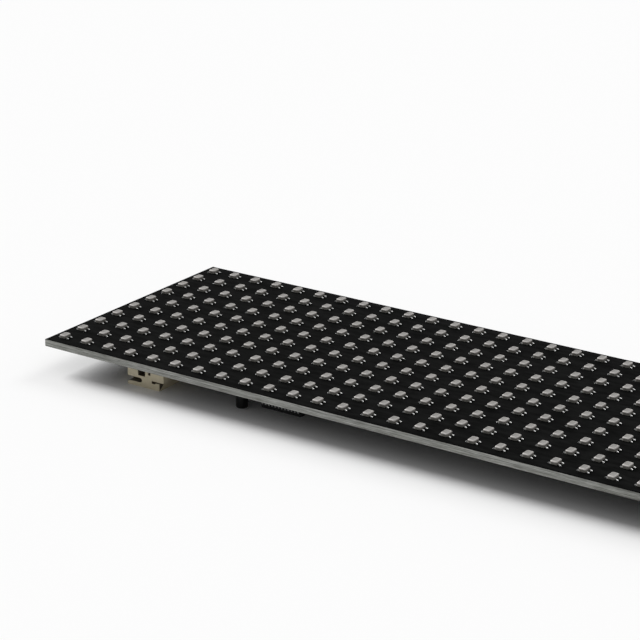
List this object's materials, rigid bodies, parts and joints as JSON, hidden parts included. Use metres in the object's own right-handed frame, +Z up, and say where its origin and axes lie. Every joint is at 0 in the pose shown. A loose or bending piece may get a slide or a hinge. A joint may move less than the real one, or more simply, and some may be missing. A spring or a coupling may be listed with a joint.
{
  "type": "led dot matrix",
  "caption": "Flat rectangular circuit board with a square grid of small surface-mounted lights on top and headers, chips and capacitors on its back.",
  "frame": {"origin": "middle of the board's outline, on the surface that the headers stand on", "axes": "+X along the board, +Y from the front long edge to the rear one, +Z up through the lights"},
  "size_m": [0.1916, 0.0608, 0.0079],
  "materials": {
    "board_laminate": "matte",
    "light_package": "satin",
    "light_leads": "satin",
    "header_nylon": "satin",
    "tinned_contact": "satin",
    "tinned_pin": "satin",
    "chip_mould": "matte",
    "capacitor_can": "gloss",
    "capacitor_base": "matte",
    "tan_ceramic": "satin",
    "black_ceramic": "gloss",
    "solder_end": "satin"
  },
  "bodies": {
    "root": {"capacitor_leads": "tinned_pin", "chip_capacitor_bodies": "tan_ceramic", "chip_capacitor_ends": "solder_end", "chip_resistor_bodies": "black_ceramic", "chip_resistor_ends": "solder_end", "circuit_board": "board_laminate", "led_leads_row_01": "light_leads", "led_leads_row_02": "light_leads", "led_leads_row_03": "light_leads", "led_leads_row_04": "light_leads", "led_leads_row_05": "light_leads", "led_leads_row_06": "light_leads", "led_leads_row_07": "light_leads", "led_leads_row_08": "light_leads", "led_leads_row_09": "light_leads", "led_leads_row_10": "light_leads", "led_packages_row_01": "light_package", "led_packages_row_02": "light_package", "led_packages_row_03": "light_package", "led_packages_row_04": "light_package", "led_packages_row_05": "light_package", "led_packages_row_06": "light_package", "led_packages_row_07": "light_package", "led_packages_row_08": "light_package", "led_packages_row_09": "light_package", "led_packages_row_10": "light_package", "left_capacitor_base": "capacitor_base", "left_capacitor_can": "capacitor_can", "left_driver_body": "chip_mould", "left_driver_pins": "tinned_pin", "power_in_contacts": "tinned_contact", "power_in_housing": "header_nylon", "power_in_solder_tabs": "tinned_contact", "power_out_contacts": "tinned_contact", "power_out_housing": "header_nylon", "power_out_solder_tabs": "tinned_contact", "right_capacitor_base": "capacitor_base", "right_capacitor_can": "capacitor_can", "right_driver_body": "chip_mould", "right_driver_pins": "tinned_pin", "row_decoder_body": "chip_mould", "row_decoder_pins": "tinned_pin", "row_switch_1_body": "chip_mould", "row_switch_2_body": "chip_mould", "row_switch_3_body": "chip_mould", "row_switch_4_body": "chip_mould", "row_switch_5_body": "chip_mould", "row_switch_pins": "tinned_pin", "signal_buffer_body": "chip_mould", "signal_buffer_pins": "tinned_pin", "signal_in_contacts": "tinned_contact", "signal_in_housing": "header_nylon", "signal_in_solder_tabs": "tinned_contact", "signal_out_contacts": "tinned_contact", "signal_out_housing": "header_nylon", "signal_out_solder_tabs": "tinned_contact"}
  },
  "joints": []
}
